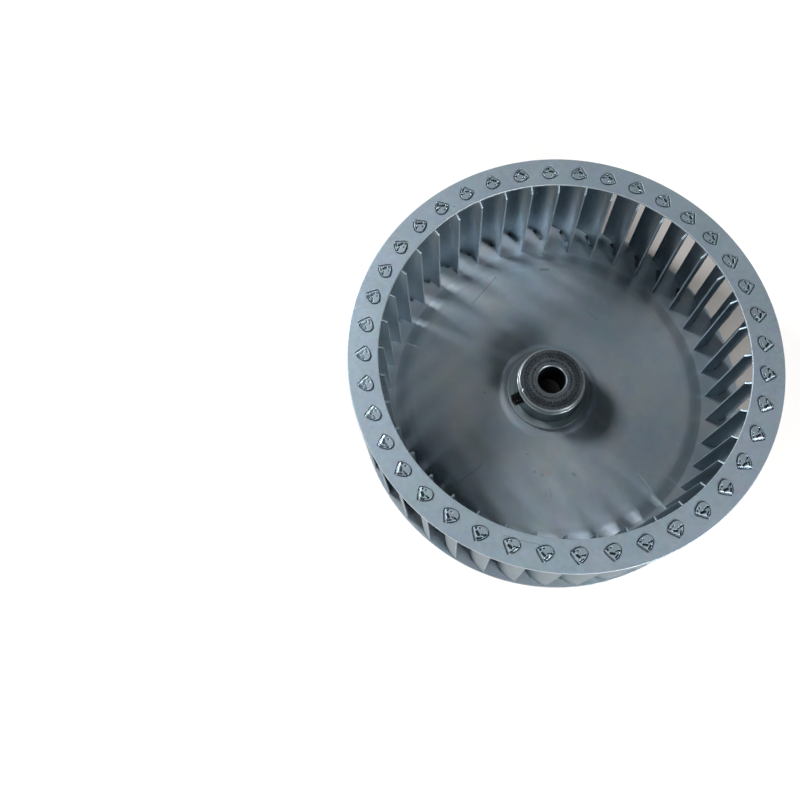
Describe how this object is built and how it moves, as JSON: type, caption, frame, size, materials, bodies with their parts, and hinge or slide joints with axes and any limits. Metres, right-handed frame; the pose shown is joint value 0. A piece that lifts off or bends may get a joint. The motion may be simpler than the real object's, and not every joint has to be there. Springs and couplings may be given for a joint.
{
  "type": "burner fan impeller",
  "caption": "Forward-curved blower wheel: curved sheet blades clinched between a flat inlet ring and a dished back disc, on a hub with a shaft bore and a set screw.",
  "frame": {"origin": "on the shaft axis, in the plane of the tabs folded under the back disc, on which it stands", "axes": "+Z along the shaft axis towards the air inlet, +X outwards along the set screw"},
  "size_m": [0.1816, 0.1816, 0.0673],
  "materials": {
    "galvanised_sheet": "galvanised sheet steel, satin",
    "hub_steel": "turned steel, zinc plated",
    "black_steel": "black oxide"
  },
  "bodies": {
    "wheel": {"back_disc": "galvanised_sheet", "front_ring": "galvanised_sheet", "hub": "hub_steel", "blade_01": "galvanised_sheet", "blade_02": "galvanised_sheet", "blade_03": "galvanised_sheet", "blade_04": "galvanised_sheet", "blade_05": "galvanised_sheet", "blade_06": "galvanised_sheet", "blade_07": "galvanised_sheet", "blade_08": "galvanised_sheet", "blade_09": "galvanised_sheet", "blade_10": "galvanised_sheet", "blade_11": "galvanised_sheet", "blade_12": "galvanised_sheet", "blade_13": "galvanised_sheet", "blade_14": "galvanised_sheet", "blade_15": "galvanised_sheet", "blade_16": "galvanised_sheet", "blade_17": "galvanised_sheet", "blade_18": "galvanised_sheet", "blade_19": "galvanised_sheet", "blade_20": "galvanised_sheet", "blade_21": "galvanised_sheet", "blade_22": "galvanised_sheet", "blade_23": "galvanised_sheet", "blade_24": "galvanised_sheet", "blade_25": "galvanised_sheet", "blade_26": "galvanised_sheet", "blade_27": "galvanised_sheet", "blade_28": "galvanised_sheet", "blade_29": "galvanised_sheet", "blade_30": "galvanised_sheet", "blade_31": "galvanised_sheet", "blade_32": "galvanised_sheet", "blade_33": "galvanised_sheet", "blade_34": "galvanised_sheet", "blade_35": "galvanised_sheet", "blade_36": "galvanised_sheet", "blade_37": "galvanised_sheet", "blade_38": "galvanised_sheet", "blade_39": "galvanised_sheet", "blade_40": "galvanised_sheet"},
    "set_screw": {"set_screw": "black_steel"}
  },
  "joints": [
    {"name": "set_screw_thread", "type": "slide", "parent": "wheel", "child": "set_screw", "axis": [1, 0, 0], "range_m": [-0.0032, 0.006]}
  ]
}
